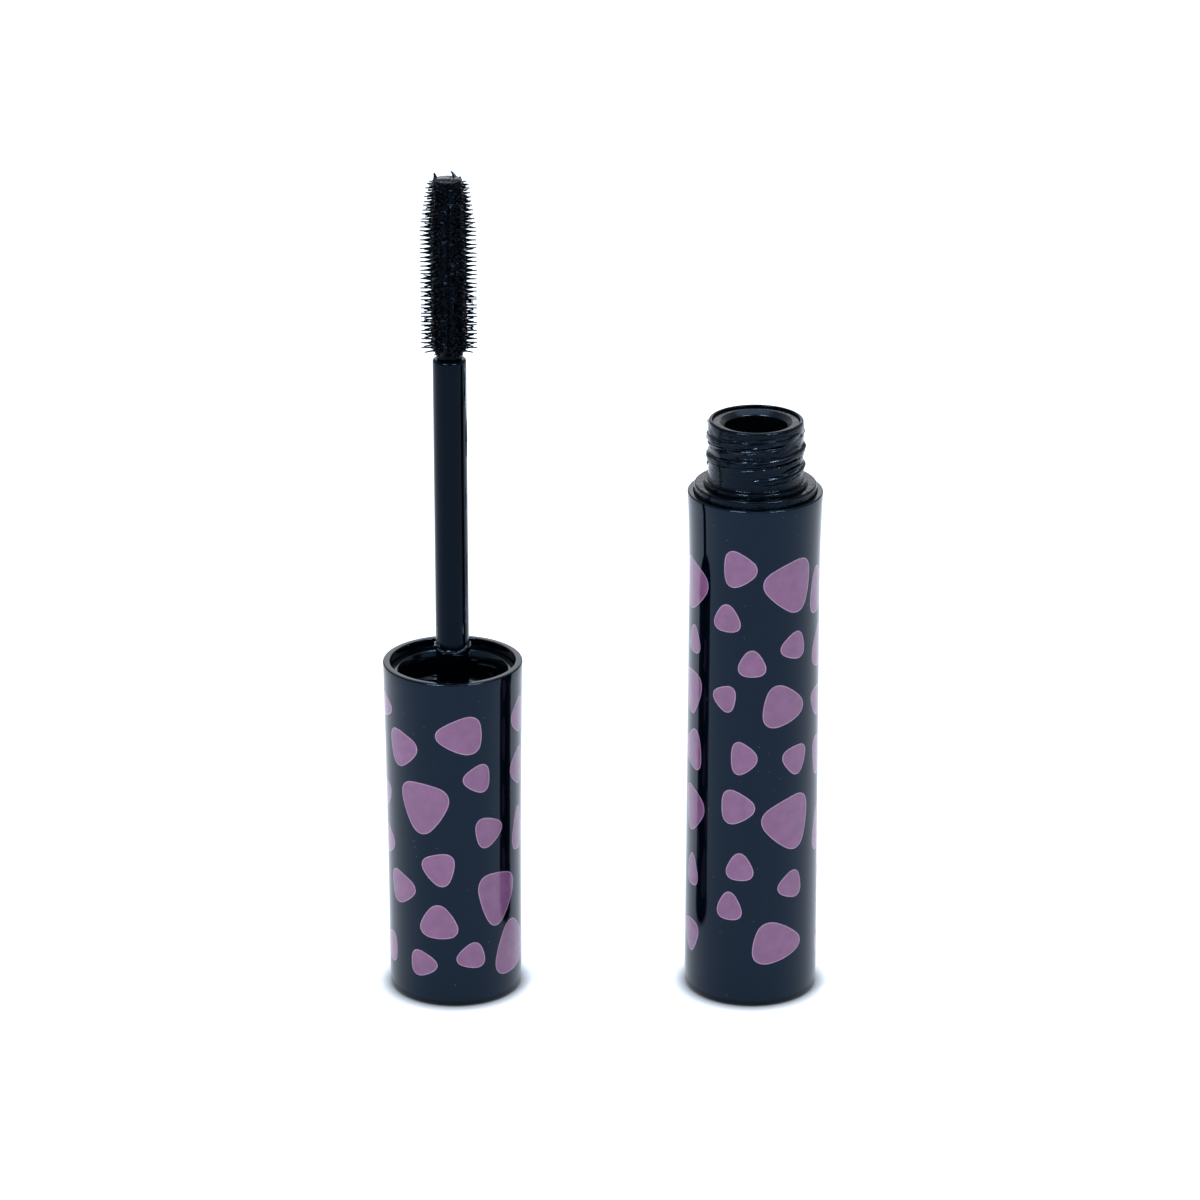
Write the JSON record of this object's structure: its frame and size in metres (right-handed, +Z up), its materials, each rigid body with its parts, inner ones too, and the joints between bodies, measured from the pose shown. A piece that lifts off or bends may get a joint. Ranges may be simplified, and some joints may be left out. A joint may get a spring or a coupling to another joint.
{
  "type": "mascara tube",
  "caption": "Glossy mascara tube standing open with its threaded neck up, beside its upturned screw cap with the wand and moulded brush.",
  "frame": {"origin": "on the ground, in the middle of the floor space that the cap and the tube cover together", "axes": "+Z up along both axes, +X from the cap to the tube, +Y from the front to the back"},
  "size_m": [0.0554, 0.0176, 0.1081],
  "materials": {
    "shell_plastic": "high-gloss moulded black, printed with matt mauve spots",
    "vial_plastic": "glossy moulded black",
    "wiper_plastic": "soft satin black",
    "mascara_paste": "wet black paste",
    "washer_foam": "matt foam",
    "insert_plastic": "glossy moulded black",
    "stem_plastic": "glossy moulded blue-black",
    "brush_plastic": "moulded black elastomer, wet with mascara"
  },
  "bodies": {
    "tube": {"outer_tube": "shell_plastic", "inner_vial": "vial_plastic", "wiper": "wiper_plastic", "mascara_fill": "mascara_paste"},
    "seal": {"seal_washer": "washer_foam"},
    "cap": {"cap_shell": "shell_plastic", "inner_cap": "insert_plastic", "wand_stem": "stem_plastic", "brush": "brush_plastic"}
  },
  "joints": [
    {"name": "cap_turn_over", "type": "hinge", "parent": "tube", "child": "seal", "pos_m": [0.00017, 0, 0.09305], "axis": [0, 1, 0], "range_deg": [0, 180]},
    {"name": "cap_twist", "type": "hinge", "parent": "seal", "child": "cap", "pos_m": [-0.01885, 0, 0.0343], "axis": [0, 0, 1], "range_deg": [0, 810]}
  ]
}
